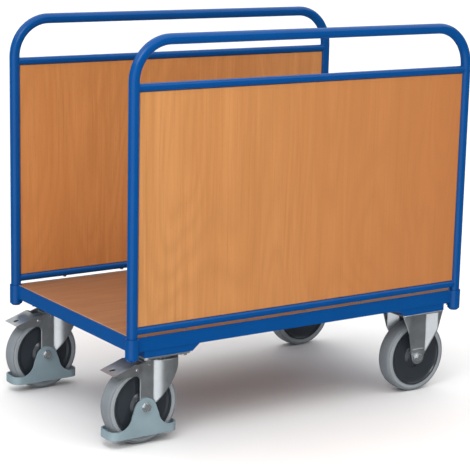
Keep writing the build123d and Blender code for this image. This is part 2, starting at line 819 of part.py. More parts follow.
def make_pedal(name, x, y):
    """Brake pedal: slotted tread plate, a skirt down each side and a cam bar inside."""
    axle_x = -trail
    tip = (axle_x - pedal_tip_ahead, pedal_tip_z)
    root = (axle_x - pedal_root_ahead, pedal_root_z)
    rivet = (axle_x - rivet_ahead, rivet_z)
    slope = math.degrees(math.atan2(root[1] - tip[1], root[0] - tip[0]))
    drop = pedal_wall / math.cos(math.radians(slope))
    cam_x = axle_x - cam_ahead
    cam_top = tip[1] + (cam_x - tip[0]) * math.tan(math.radians(slope))
    shoe_top = wheel_radius + math.sqrt(shoe_outer_radius**2 - (cam_ahead - cam_thickness / 2)**2)
    tread = Plane(origin=(x + tip[0], y, tip[1])).rotated((0, -slope, 0))
    knuckle = pedal_knuckle_radius
    with BuildPart() as pedal:
        with BuildSketch(upright(x, y, 0)):
            with BuildLine():
                Polyline(
                    (rivet[0], rivet[1] + knuckle),
                    root,
                    tip,
                    (tip[0] + pedal_nose_run, pedal_skirt_z),
                    (rivet[0], pedal_skirt_z),
                    (rivet[0], rivet[1] - knuckle),
                )
                ThreePointArc(
                    (rivet[0], rivet[1] - knuckle),
                    (rivet[0] + knuckle, rivet[1]),
                    (rivet[0], rivet[1] + knuckle),
                )
            make_face()
        extrude(amount=pedal_outer, both=True)
        with BuildSketch(upright(x, y, 0)):
            Polygon(
                (rivet[0] + 2 * knuckle, rivet[1] - 2 * knuckle),
                (rivet[0] + 2 * knuckle, rivet[1] + 2 * knuckle),
                (root[0], rivet[1] + 2 * knuckle),
                (root[0], root[1] - drop),
                (tip[0] - drop, tip[1] - drop - drop * math.tan(math.radians(slope))),
                (tip[0] - drop, rivet[1] - 2 * knuckle),
                align=None,
            )
        extrude(amount=pedal_inner, both=True, mode=Mode.SUBTRACT)
        with BuildSketch(tread.offset(-2 * pedal_wall)):
            with Locations((pedal_slot_start + pedal_slot_length / 2, 0)):
                RectangleRounded(pedal_slot_length, pedal_slot_width, pedal_corner_radius)
        extrude(amount=3 * pedal_wall, mode=Mode.SUBTRACT)
        with BuildSketch(upright(x, y, 0)):
            with Locations((cam_x, (shoe_top + cam_gap + cam_top) / 2)):
                Rectangle(cam_thickness, cam_top - shoe_top - cam_gap - pedal_wall / 2)
        extrude(amount=cam_half_width, both=True)
        with BuildSketch(upright(x, y, 0)):
            with Locations(rivet):
                Circle(rivet_radius + hinge_clearance)
        extrude(amount=2 * pedal_outer, both=True, mode=Mode.SUBTRACT)
    save(pedal, name)


def make_brake_rivets(name, x, y):
    """Two shouldered rivets that carry the pedal and the pin that carries the shoe."""
    rivet_x = x - trail - rivet_ahead
    pin_x = x - trail - shoe_pin_ahead
    with BuildPart() as brake_rivets:
        for side in (-1, 1):
            with BuildSketch(upright(rivet_x, y - side * fork_half_gap, rivet_z)):
                Circle(rivet_radius)
            extrude(amount=side * (pedal_outer + hinge_clearance - fork_half_gap))
            head_y = y - side * (pedal_outer + hinge_clearance)
            with BuildSketch(upright(rivet_x, head_y, rivet_z)):
                Circle(rivet_head_radius)
            extrude(amount=side * rivet_head_height, taper=rivet_head_taper)
        with BuildSketch(upright(pin_x, y, shoe_pin_z)):
            Circle(rivet_radius)
        extrude(amount=leg_outer, both=True)
    save(brake_rivets, name)


def make_brake_shoe(name, x, y):
    """Curved shoe over the tread, hung from the pin behind it and pressed by the cam."""
    axle = (-trail, wheel_radius)
    pin = (-trail - shoe_pin_ahead, shoe_pin_z)
    front = math.asin(shoe_front_ahead / shoe_outer_radius)
    back = math.asin(shoe_pin_ahead / shoe_outer_radius)

    def on_arc(radius, angle):
        return (axle[0] - radius * math.sin(angle), axle[1] + radius * math.cos(angle))

    middle = (front + back) / 2
    with BuildPart() as brake_shoe:
        with BuildSketch(upright(x, y, 0)):
            with BuildLine():
                ThreePointArc(on_arc(shoe_inner_radius, back), on_arc(shoe_inner_radius, middle),
                              on_arc(shoe_inner_radius, front))
                Line(on_arc(shoe_inner_radius, front), on_arc(shoe_outer_radius, front))
                ThreePointArc(on_arc(shoe_outer_radius, front), on_arc(shoe_outer_radius, middle),
                              on_arc(shoe_outer_radius, back))
                Line(on_arc(shoe_outer_radius, back), on_arc(shoe_inner_radius, back))
            make_face()
            with Locations(pin):
                Circle(shoe_boss_radius)
        extrude(amount=shoe_half_width, both=True)
        with BuildSketch(upright(x, y, 0)):
            with Locations(pin):
                Circle(rivet_radius + hinge_clearance)
        extrude(amount=2 * shoe_half_width, both=True, mode=Mode.SUBTRACT)
    save(brake_shoe, name)


def make_guard(name, x, y):
    """Foot guard: a skirt all round the wheel and a bell-shaped side over each leg's end."""
    foot = (bell_foot, guard_skirt_height)
    flare = (bell_flare_x, guard_skirt_height + bell_flare_rise)
    waist = (bell_waist_x, guard_skirt_height + bell_waist_rise)
    shoulder = (bell_shoulder_x, guard_skirt_height + bell_shoulder_rise)
    top = (0, shoulder[1] + bell_crown_rise)
    with BuildPart() as guard:
        with BuildSketch(upright(x - trail, y, guard_bottom_z)):
            with BuildLine():
                Polyline((0, 0), (foot[0], 0), foot)
                ThreePointArc(foot, flare, waist)
                Line(waist, shoulder)
                ThreePointArc(shoulder, top, (-shoulder[0], shoulder[1]))
                Line((-shoulder[0], shoulder[1]), (-waist[0], waist[1]))
                ThreePointArc((-waist[0], waist[1]), (-flare[0], flare[1]), (-foot[0], foot[1]))
                Polyline((-foot[0], foot[1]), (-foot[0], 0), (0, 0))
            make_face()
        extrude(amount=guard_outer, both=True)
        with BuildSketch(level(x - trail, y, guard_bottom_z)):
            RectangleRounded(2 * guard_half_length, 2 * guard_outer, guard_corner_radius)
        extrude(amount=guard_skirt_height)
        with BuildSketch(level(x - trail, y, 0)):
            RectangleRounded(2 * (guard_half_length - guard_wall), 2 * guard_inner,
                             guard_corner_radius - guard_wall)
        extrude(amount=castor_height, mode=Mode.SUBTRACT)
        with BuildSketch(upright(x - trail, y, wheel_radius)):
            Circle(axle_radius + axle_clearance)
        extrude(amount=2 * guard_outer, both=True, mode=Mode.SUBTRACT)
    save(guard, name)


def make_wheel(prefix, x, y, seat):
    """Rim, bearings and tyre on their axle set."""
    make_tyre(f"{prefix}_tyre", x, y)
    make_rim(f"{prefix}_rim", x, y)
    make_bearings(f"{prefix}_bearings", x, y)
    make_axle_set(f"{prefix}_axle_set", x, y, seat)


def make_swivel_castor(prefix, x, y):
    make_top_plate(f"{prefix}_top_plate", x, y)
    make_kingpin(f"{prefix}_kingpin", x, y)
    make_ball_rows(f"{prefix}_ball_rows", x, y)
    make_fork(f"{prefix}_fork", x, y)
    make_pedal(f"{prefix}_pedal", x, y)
    make_brake_rivets(f"{prefix}_brake_rivets", x, y)
    make_brake_shoe(f"{prefix}_brake_shoe", x, y)
    make_guard(f"{prefix}_guard", x, y)
    make_wheel(prefix, x - trail, y, guard_outer)


# -------------------------------------------------------------- fixed castors
def make_bracket(name, x, y):
    """Pressed bracket: top plate and two legs with ramped-out sides, narrow at the axle."""
    ridge_y = -bolt_spacing_y / 2 - bracket_bolt_room
    half_outline = [
        (bracket_half_width, ridge_y + bracket_return_depth),
        (bracket_ridge, ridge_y),
        (bracket_web_half_width, -leg_outer),
    ]
    outer = half_outline + [(-px, py) for px, py in reversed(half_outline)]
    inner = [(px, py + fork_wall) for px, py in reversed(outer)]
    foot_z = wheel_radius - bracket_foot_half_width
    foot = bracket_foot_half_width
    with BuildPart() as bracket:
        with BuildSketch(level(x, y, foot_z)):
            Polygon(*outer, *inner, align=None)
            mirror(about=Plane.XZ)
        extrude(amount=plate_bottom_z - foot_z)
        with BuildSketch(upright(x, y, 0)):
            with BuildLine():
                ThreePointArc((-foot, wheel_radius), (0, foot_z), (foot, wheel_radius))
                Polyline(
                    (foot, wheel_radius),
                    (bracket_half_width, plate_bottom_z),
                    (-bracket_half_width, plate_bottom_z),
                    (-foot, wheel_radius),
                )
            make_face()
        extrude(amount=plate_width, both=True, mode=Mode.INTERSECT)
        with BuildSketch(level(x, y, plate_bottom_z)):
            plate_outline(bracket_plate_length)
        extrude(amount=plate_thickness)
        with BuildSketch(upright(x, y, bracket_bead_z)):
            Rectangle(2 * bracket_bead_half_width, bracket_bead_height)
        extrude(amount=leg_outer + bracket_bead_proud, both=True)
        with BuildSketch(upright(x, y, bracket_bead_z)):
            Rectangle(2 * bracket_bead_half_width, bracket_bead_height)
        extrude(amount=fork_half_gap, both=True, mode=Mode.SUBTRACT)
        with BuildSketch(upright(x, y, wheel_radius)):
            Circle(axle_radius + axle_clearance)
        extrude(amount=plate_width, both=True, mode=Mode.SUBTRACT)
    save(bracket, name)


def make_fixed_castor(prefix, x, y):
    make_bracket(f"{prefix}_bracket", x, y)
    make_wheel(prefix, x, y, leg_outer)


# --------------------------------------------------------------- the trolley
os.makedirs("parts", exist_ok=True)

make_deck_board()
make_rail("near_rail", (swivel_end_x, near_y), (1, 0, 0), post_span_x)
make_rail("far_rail", (fixed_end_x, far_y), (-1, 0, 0), post_span_x)
make_rail("swivel_end_rail", (swivel_end_x, far_y), (0, -1, 0), post_span_y)
make_rail("fixed_end_rail", (fixed_end_x, near_y), (0, 1, 0), post_span_y)
make_centre_bearer()
make_deck_screws()
make_socket("near_swivel_socket", swivel_end_x, near_y)
make_socket("far_swivel_socket", swivel_end_x, far_y)
make_socket("near_fixed_socket", fixed_end_x, near_y)
make_socket("far_fixed_socket", fixed_end_x, far_y)
make_socket_caps()
make_socket_screws()
for side_name, side_y in (("near", near_y), ("far", far_y)):
    make_hoop(f"{side_name}_hoop", side_y)
    make_crosstube(f"{side_name}_upper_crosstube", side_y, upper_crosstube_z,
                   panel_pin_radius, "below")
    make_crosstube(f"{side_name}_lower_crosstube", side_y, lower_crosstube_z,
                   panel_screw_radius, "both")
    make_panel(f"{side_name}_panel", side_y)
make_panel_screws()
make_panel_pins()
make_channel("swivel_channel", swivel_castor_x, 1)
make_channel("fixed_channel", fixed_castor_x, -1)
make_castor_bolts()
make_swivel_castor("near_swivel", swivel_castor_x, near_castor_y)
make_swivel_castor("far_swivel", swivel_castor_x, far_castor_y)
make_fixed_castor("near_fixed", fixed_castor_x, near_castor_y)
make_fixed_castor("far_fixed", fixed_castor_x, far_castor_y)
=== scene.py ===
import json
import math
import random

import bmesh
import bpy
from mathutils import Matrix, Vector


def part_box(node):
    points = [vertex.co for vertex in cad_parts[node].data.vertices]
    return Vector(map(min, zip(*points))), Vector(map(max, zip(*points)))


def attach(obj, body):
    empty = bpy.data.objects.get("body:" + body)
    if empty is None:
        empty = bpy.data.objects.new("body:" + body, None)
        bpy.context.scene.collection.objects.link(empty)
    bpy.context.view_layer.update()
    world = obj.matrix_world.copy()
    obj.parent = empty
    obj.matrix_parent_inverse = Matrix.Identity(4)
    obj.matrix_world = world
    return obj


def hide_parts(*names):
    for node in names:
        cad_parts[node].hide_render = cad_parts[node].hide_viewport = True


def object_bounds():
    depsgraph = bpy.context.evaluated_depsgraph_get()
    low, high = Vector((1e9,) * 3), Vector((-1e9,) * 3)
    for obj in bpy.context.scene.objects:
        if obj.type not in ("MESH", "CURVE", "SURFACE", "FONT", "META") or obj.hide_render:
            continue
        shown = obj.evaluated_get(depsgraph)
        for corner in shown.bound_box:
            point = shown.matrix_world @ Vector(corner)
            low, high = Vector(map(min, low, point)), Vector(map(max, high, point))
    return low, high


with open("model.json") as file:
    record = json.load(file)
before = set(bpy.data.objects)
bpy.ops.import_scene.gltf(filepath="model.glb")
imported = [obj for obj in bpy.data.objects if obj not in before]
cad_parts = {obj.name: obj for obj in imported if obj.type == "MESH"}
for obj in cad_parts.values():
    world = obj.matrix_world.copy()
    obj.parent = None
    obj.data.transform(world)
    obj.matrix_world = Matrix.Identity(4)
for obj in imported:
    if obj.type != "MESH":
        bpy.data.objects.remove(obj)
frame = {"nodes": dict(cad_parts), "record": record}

# Platform trolley with two panelled side frames, in metres, +Z up.
# +X runs from the braked swivel castors to the fixed ones, +Y to the far side.

cad_low, cad_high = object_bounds()
nodes = frame["nodes"]

MM = 0.001
WELD_SEED = 7
random.seed(WELD_SEED)

# Colours, linear RGB. A beech has a light and a dark tone.
BLUE_TONES = (0.0002, 0.058, 0.232), (0.0004, 0.07, 0.268)
BLUE_SPECK = (0.001, 0.095, 0.33)
PANEL_BEECH = (0.62, 0.29, 0.102), (0.525, 0.228, 0.071)
# Far panel's copy of the panel beech, tones set for the light it gets: painted shade.
FAR_PANEL_PAINTED_SHADE_BEECH = (0.63, 0.285, 0.1), (0.53, 0.22, 0.07)
DECK_BEECH = (0.345, 0.17, 0.085), (0.285, 0.13, 0.062)
# Pale edge banding: partly its own tone, partly painted highlight on the board's edge.
BAND_BEECH_AND_HIGHLIGHT = (0.62, 0.45, 0.3), (0.52, 0.36, 0.23)
SHEET_ZINC = (0.55, 0.585, 0.61)
FASTENER_ZINC = (0.78, 0.81, 0.83)
POLISHED_ZINC = (0.5, 0.525, 0.54)
DULL_ZINC = (0.3, 0.29, 0.27)
BEARING_STEEL = (0.7, 0.71, 0.73)
# The tread is painted darker and the flank lighter: painted shade and painted light on one
# rubber.
TREAD_RUBBER_PAINTED_SHADE = (0.205, 0.23, 0.252)
FLANK_RUBBER_PAINTED_LIGHT = (0.31, 0.34, 0.365)
RIM_PLASTIC = (0.03, 0.037, 0.046)
GUARD_PLASTIC = (0.25, 0.335, 0.375)
FLOOR_TONES = (0.86, 0.855, 0.85), (0.9, 0.895, 0.89)
BACKDROP_TONE = (0.9, 0.895, 0.89, 1)
WHITE = (1, 1, 1, 1)

# Turns in degrees that bring the grain, along local Z without a turn, onto a board.
UPRIGHT_GRAIN = (0, 0, 0)
LONG_GRAIN = (0, 90, 0)
# Where along X a board's painted shade, a darker and more red tone for light falling off,
# starts and ends.
PAINTED_SHADE_X = (-0.5, 0.55)
ARCHES_PER_UNIT = 17.0
BEVEL_SAMPLES = 4


# ---------------------------------------------------------------- small tools
def corners(name):
    """Low and high corner of a node's box."""
    low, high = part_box(name)
    return Vector(low), Vector(high)


def middle(name):
    """Centre of a node's box."""
    low, high = corners(name)
    return (low + high) / 2


def size(name):
    """Extents of a node's box."""
    low, high = corners(name)
    return high - low


def half_chord(radius, offset):
    """Half the chord of a circle at this offset from its centre."""
    return math.sqrt(radius ** 2 - min(abs(offset), radius) ** 2)


def circle(count):
    """Angles evenly round a circle."""
    return [2 * math.pi * k / count for k in range(count)]


def link_object(name, data):
    """New object of this data, in the scene."""
    made = bpy.data.objects.new(name, data)
    bpy.context.scene.collection.objects.link(made)
    return made


class Graph:
    """Node tree of a material or of the world."""

    def __init__(self, tree):
        self.tree = tree

    def node(self, kind, **settings):
        made = self.tree.nodes.new(kind)
        for key, value in settings.items():
            setattr(made, key, value)
        return made

    def put(self, value, socket):
        """Link an output to the socket, or set the socket to a plain value."""
        if isinstance(value, bpy.types.NodeSocket):
            self.tree.links.new(value, socket)
        else:
            socket.default_value = value

    def math(self, kind, first, second):
        made = self.node("ShaderNodeMath", operation=kind)
        self.put(first, made.inputs[0])
        self.put(second, made.inputs[1])
        return made.outputs["Value"]

    def remap(self, value, low, high, to_low, to_high, **settings):
        made = self.node("ShaderNodeMapRange", **settings)
        for key, given in (("Value", value), ("From Min", low), ("From Max", high),
                           ("To Min", to_low), ("To Max", to_high)):
            self.put(given, made.inputs[key])
        return made.outputs["Result"]

    def axis(self, place, name):
        """One coordinate of a vector output."""
        split = self.node("ShaderNodeSeparateXYZ")
        self.put(place, split.inputs[0])
        return split.outputs[name]


class Material(Graph):
    """A Principled material built node by node on object coordinates."""

    def __init__(self, name):
        self.material = bpy.data.materials.new(name)
        self.material.use_nodes = True
        super().__init__(self.material.node_tree)
        self.shader = self.tree.nodes["Principled BSDF"]
        self.place = self.node("ShaderNodeTexCoord").outputs["Object"]

    def stretched(self, cells, turn=(0, 0, 0)):
        """Object coordinates in this many cells to a metre, turned by degrees first."""
        mapping = self.node("ShaderNodeMapping", vector_type="TEXTURE")
        mapping.inputs["Scale"].default_value = [1 / c for c in cells]
        mapping.inputs["Rotation"].default_value = [math.radians(a) for a in turn]
        self.put(self.place, mapping.inputs["Vector"])
        return mapping.outputs["Vector"]

    def noise(self, place, detail, scale=1.0, roughness=0.5, distortion=0.0):
        made = self.node("ShaderNodeTexNoise")
        for key, given in (("Vector", place), ("Scale", scale), ("Detail", detail),
                           ("Roughness", roughness), ("Distortion", distortion)):
            self.put(given, made.inputs[key])
        return made.outputs["Fac"]

    def mix(self, amount, first, second):
        """Mix of two colours, each an output or three plain numbers."""
        made = self.node("ShaderNodeMix", data_type="RGBA")
        for key, value in (("Factor", amount), ("A", first), ("B", second)):
            if not isinstance(value, bpy.types.NodeSocket):
                value = (*value, 1.0)
            self.put(value, next(s for s in made.inputs if s.name == key and s.enabled))
        return next(s for s in made.outputs if s.enabled)

    def tint(self, base, pattern, low, high, share, color):
        """Base colour, taken to a share of another as the pattern goes low to high."""
        return self.mix(self.remap(pattern, low, high, 0.0, share), base, color)

    def relief(self, height, depth, strength, edge):
        """Bump of the given depth in metres over edges rounded to the given radius."""
        bump = self.node("ShaderNodeBump")
        bevel = self.node("ShaderNodeBevel", samples=BEVEL_SAMPLES)
        self.put(edge, bevel.inputs["Radius"])
        for key, given in (("Strength", strength), ("Distance", depth),
                           ("Height", height), ("Normal", bevel.outputs["Normal"])):
            self.put(given, bump.inputs[key])
        self.put(bump.outputs["Normal"], self.shader.inputs["Normal"])

    def surface(self, color, roughness, **others):
        """Fill the shader's sockets, named with underscores for spaces."""
        self.put(color, self.shader.inputs["Base Color"])
        self.put(roughness, self.shader.inputs["Roughness"])
        for key, value in others.items():
            self.put(value, self.shader.inputs[key.replace("_", " ")])
        return self.material


def shade(color, factors):
    """Colour scaled by one factor, or by one for each channel."""
    if not isinstance(factors, tuple):
        factors = (factors,) * 3
    return [c * f for c, f in zip(color, factors)]


# ------------------------------------------------------------------ materials
def powder_coat():
    """Semi-gloss blue powder coat: fine orange peel and a faint cloudiness."""
    m = Material("blue_coat")
    peel = m.noise(m.place, scale=620, detail=2)
    clouds = m.noise(m.place, scale=9, detail=3)
    specks = m.noise(m.place, scale=1500, detail=1)
    blue = m.mix(clouds, *BLUE_TONES)
    blue = m.tint(blue, specks, 0.62, 0.8, 1.0, BLUE_SPECK)
    m.relief(peel, depth=0.12 * MM, strength=0.35, edge=0.9 * MM)
    return m.surface(blue, m.remap(peel, 0.3, 0.7, 0.12, 0.18), Specular_IOR_Level=0.19)


def beech(name, turn, light, dark, rough, painted_shade=(0.0, 0.0)):
    """Beech decor: bands and arches along the grain, fine dark lines and flecks.

    The board goes from one share of a darker, more red tone to another along X: painted
    shade, standing for light falling off across the board.
    """
    m = Material(name)

    def grain(across, along, **details):
        """Noise streaks, this many to a metre across the grain and along it."""
        return m.noise(m.stretched((across, across, along), turn), **details)

    drift = grain(1.6, 0.5, detail=2)
    bands = grain(24, 1.1, detail=5, roughness=0.66, distortion=1.4)
    figure = grain(4.2, 1.0, detail=1.5, distortion=0.4)
    arches = m.math("PINGPONG", m.math("MULTIPLY", figure, ARCHES_PER_UNIT), 0.5)
    lines = grain(210, 3.2, detail=3, roughness=0.6)
    flecks = grain(650, 60, detail=2)
    average = [0.5 * (a + b) for a, b in zip(light, dark)]
    shade_share = m.remap(m.axis(m.place, "X"), *PAINTED_SHADE_X, *painted_shade)

    tone = m.tint(light, bands, 0.34, 0.66, 1.0, shade(dark, 0.94))
    tone = m.tint(tone, drift, 0.35, 0.7, 0.5, shade(average, (1.06, 0.95, 0.85)))
    tone = m.tint(tone, arches, 0.12, 0.5, 0.42, shade(dark, 0.9))
    # Painted shade: a darker, more red tone along X, standing for light falling off across
    # the board.
    tone = m.mix(shade_share, tone, shade(dark, (0.88, 0.68, 0.62)))
    tone = m.tint(tone, lines, 0.52, 0.72, 0.4, shade(dark, 0.76))
    tone = m.tint(tone, flecks, 0.6, 0.78, 0.36, shade(dark, 0.62))
    m.relief(m.math("ADD", lines, flecks), depth=0.06 * MM, strength=0.3, edge=0.6 * MM)
    return m.surface(tone, m.remap(lines, 0.3, 0.7, rough, rough + 0.1),
                     Specular_IOR_Level=0.2)


def zinc(name, bright, rough, grain, edge=0.6 * MM):
    """Zinc plate: cloudy tone, faint rolling lines and a thin passivated tint."""
    m = Material(name)
    clouds = m.noise(m.place, scale=38, detail=4, roughness=0.6)
    lines = m.noise(m.stretched((40, 900, 900)), detail=2)
    patches = m.noise(m.place, scale=11, detail=2)
    metal = m.tint(shade(bright, 0.8), clouds, 0.3, 0.7, 1.0, bright)
    metal = m.tint(metal, patches, 0.45, 0.7, 0.3, shade(bright, (0.93, 0.95, 1.0)))
    m.relief(m.math("ADD", clouds, lines), depth=0.1 * MM, strength=grain, edge=edge)
    return m.surface(metal, m.remap(clouds, 0.3, 0.7, rough, rough + 0.08),
                     Metallic=0.88)


def moulded(name, tone, rough, grains_per_metre, depth, edge):
    """Moulded plastic or rubber with a fine spark-eroded grain and a cloudy tone."""
    m = Material(name)
    grain = m.noise(m.place, scale=grains_per_metre, detail=3)
    clouds = m.noise(m.place, scale=14, detail=3)
    color = m.tint(shade(tone, 0.9), clouds, 0.3, 0.7, 1.0, shade(tone, 1.08))
    color = m.tint(color, grain, 0.6, 0.8, 0.3, shade(tone, 0.75))
    m.relief(grain, depth=depth, strength=0.4, edge=edge)
    return m.surface(color, m.remap(grain, 0.3, 0.7, rough, rough + 0.12),
                     Specular_IOR_Level=0.45)


# By material slot.
finishes = {
    "blue_coat": powder_coat(),
    # Darker and more red towards +X: painted shade of the key light falling off.
    "panel_board": beech("panel_board", UPRIGHT_GRAIN, *PANEL_BEECH, rough=0.42,
                         painted_shade=(0.0, 0.75)),
    "deck_board": beech("deck_board", LONG_GRAIN, *DECK_BEECH, rough=0.45),
    "zinc_sheet": zinc("zinc_sheet", SHEET_ZINC, rough=0.34, grain=0.2),
    "zinc_fastener": zinc("zinc_fastener", FASTENER_ZINC, rough=0.16, grain=0.12),
    "bearing_steel": zinc("bearing_steel", BEARING_STEEL, rough=0.12, grain=0.08),
    "tyre": moulded("tyre", TREAD_RUBBER_PAINTED_SHADE, rough=0.5, grains_per_metre=900,
                    depth=0.1 * MM, edge=0.8 * MM),
    "rim_plastic": moulded("rim_plastic", RIM_PLASTIC, rough=0.15,
                           grains_per_metre=1300, depth=0.04 * MM, edge=1.2 * MM),
    "guard_plastic": moulded("guard_plastic", GUARD_PLASTIC, rough=0.36,
                             grains_per_metre=1100, depth=0.1 * MM, edge=1.0 * MM),
}
tyre_flank = moulded("tyre_flank", FLANK_RUBBER_PAINTED_LIGHT, rough=0.42, grains_per_metre=1100,
                     depth=0.08 * MM, edge=0.8 * MM)
# The far panel's own copy of the beech, darker and more red towards -X: painted shade.
far_panel_painted_shade = beech("far_panel_painted_shade", UPRIGHT_GRAIN, *FAR_PANEL_PAINTED_SHADE_BEECH, rough=0.42,
                     painted_shade=(0.25, 0.0))
pressed_zinc = zinc("pressed_zinc", SHEET_ZINC, rough=0.32, grain=0.2, edge=4.5 * MM)
polished_zinc = zinc("polished_zinc", POLISHED_ZINC, rough=0.28, grain=0.06,
                     edge=1.2 * MM)
dull_zinc = zinc("dull_zinc", DULL_ZINC, rough=0.45, grain=0.2)

# By the last word of a node's name, in place of its slot's finish.
special = {"fork": pressed_zinc, "bracket": pressed_zinc, "pedal": polished_zinc,
           "screws": dull_zinc, "pins": dull_zinc}
slots = {row["node"]: row["material_slot"] for row in frame["record"]["subparts"]}
for name, node in nodes.items():
    node.data.materials.clear()
    node.data.materials.append(special.get(name.split("_")[-1], finishes[slots[name]]))
# The far panel takes its copy with painted shade.
nodes["far_panel"].data.materials[0] = far_panel_painted_shade

# -------------------------------------------------------------- modelled detail
# Half section of a tyre, from its seat to the tread. Each point is in from the flank
# and down from the tread, in mm.
TYRE_SECTION = (
    (4.0, 18.0), (0.0, 17.4),
    (0.1, 15.8), (0.8, 15.4), (0.8, 14.8), (0.1, 14.4),
    (0.1, 9.6), (0.6, 8.9), (2.2, 8.4), (2.2, 6.7), (1.0, 6.0),
    (1.3, 5.0), (2.0, 3.6), (3.3, 2.5), (5.6, 1.5), (9.5, 0.7), (15.0, 0.25),
)
MOULD_LINE_OUT = 0.45 * MM
MOULD_LINE_DOWN = 0.02 * MM
TYRE_TURNS = 144
TREAD_DEPTH = 7 * MM

# Weld beads. A ripple and a random spread vary the thickness along each.
BEAD_POINTS = 8
HOOP_BEAD = 1.5 * MM
HOOP_RIPPLE = 0.16
HOOP_SPREAD = (0.94, 1.06)
HOOP_BEAD_STEPS = 96
HOOP_BEAD_RIPPLES = 24
SOCKET_BEAD = 1.6 * MM
SOCKET_RIPPLE = 0.14
SOCKET_SPREAD = (0.93, 1.07)
SOCKET_BEAD_STEP = 1.2 * MM
SOCKET_BEAD_INSET = 2 * MM
SOCKET_RIPPLE_TURN = 2.1
SOCKET_TAPER = (0.35, 0.3)  # share at the ends, and added with each step

BAND_WIDTH = 2 * MM
BAND_PROUD = 0.15 * MM
BAND_DEPTH = 1 * MM
BAND_EASE_IN = 0.3 * MM
BAND_EASE_DOWN = 0.4 * MM


def add_piece(name, mesh, finish, body, crease):
    """Link a mesh as a piece that rides on a body, smooth except at its creases."""
    for face in mesh.polygons:
        face.use_smooth = True
    mesh.set_sharp_from_angle(angle=math.radians(crease))
    mesh.materials.append(finish)
    piece = link_object(name, mesh)
    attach(piece, body)
    return piece


def mesh_of(name, build):
    """Mesh of what the function builds, with its normals outwards."""
    mesh = bpy.data.meshes.new(name)
    shape = bmesh.new()
    build(shape)
    bmesh.ops.recalc_face_normals(shape, faces=shape.faces)
    shape.to_mesh(mesh)
    shape.free()
    return mesh


def skin(shape, rings, ends):
    """Faces between rings of points, with the ends "joined", "capped" or "open"."""
    loops = [[shape.verts.new(point) for point in ring] for ring in rings]
    following = loops[1:] + loops[:1] if ends == "joined" else loops[1:]
    for first, second in zip(loops, following):
        for k in range(len(first)):
            after = (k + 1) % len(first)
            shape.faces.new((first[k], first[after], second[after], second[k]))
    if ends == "capped":
        shape.faces.new(loops[0])
        shape.faces.new(loops[-1])


def make_tyre(node, body):
    """Grey tyre with grooves in its flanks and shoulders and a mould line; the tread is
    painted darker and the flanks lighter, as painted shade and painted light.
    """
    centre = middle(node)
    radius, half = size(node).x / 2, size(node).y / 2
    side = [(half - across * MM, radius - down * MM) for across, down in TYRE_SECTION]
    side.append((MOULD_LINE_OUT, radius - MOULD_LINE_DOWN))
    section = [(-out, r) for out, r in side] + [(out, r) for out, r in reversed(side)]

    def build(shape):
        rings = [[(centre.x + r * math.cos(angle), centre.y + out,
                   centre.z + r * math.sin(angle)) for out, r in section]
                 for angle in circle(TYRE_TURNS)]
        skin(shape, rings, ends="joined")

    name = node.replace("_tyre", "_grey_tyre")
    piece = add_piece(name, mesh_of(name, build), finishes["tyre"], body,
                      crease=35)
    piece.data.materials.append(tyre_flank)
    # Flank faces take the lighter rubber: painted light on the flanks, painted shade on
    # the tread.
    for face in piece.data.polygons:
        offset = face.center - centre
        if math.hypot(offset.x, offset.z) < radius - TREAD_DEPTH:
            face.material_index = 1
    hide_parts(node)


def bead_section(point, thick, first, second):
    """Points round a weld bead, in the plane of two unit vectors."""
    return [point + thick * (math.cos(a) * first + math.sin(a) * second)
            for a in circle(BEAD_POINTS)]


def make_frame_welds(side):
    """Beads where the two cross tubes meet the posts of one hoop."""
    low, high = corners(f"{side}_hoop")
    post_radius = (high.y - low.y) / 2

    def bead(shape, tube, radius, post_x, inward):
        """Scalloped bead round the end of a tube, with a slightly uneven height."""
        rings = []
        along = Vector((inward, 0, 0))
        for angle in circle(HOOP_BEAD_STEPS):
            outward = Vector((0, math.sin(angle), math.cos(angle)))
            reach = half_chord(post_radius, radius * outward.y)
            point = Vector((post_x + inward * reach, tube.y, tube.z)) + radius * outward
            wave = 1 + HOOP_RIPPLE * math.cos(HOOP_BEAD_RIPPLES * angle)
            thick = HOOP_BEAD * wave * random.uniform(*HOOP_SPREAD)
            rings.append(bead_section(point, thick, outward, along))
        skin(shape, rings, ends="joined")

    def build(shape):
        for tube in (f"{side}_upper_crosstube", f"{side}_lower_crosstube"):
            radius = size(tube).z / 2
            bead(shape, middle(tube), radius, low.x + post_radius, 1)
            bead(shape, middle(tube), radius, high.x - post_radius, -1)

    name = f"{side}_hoop_welds"
    add_piece(name, mesh_of(name, build), finishes["blue_coat"], "cart",
              crease=60)


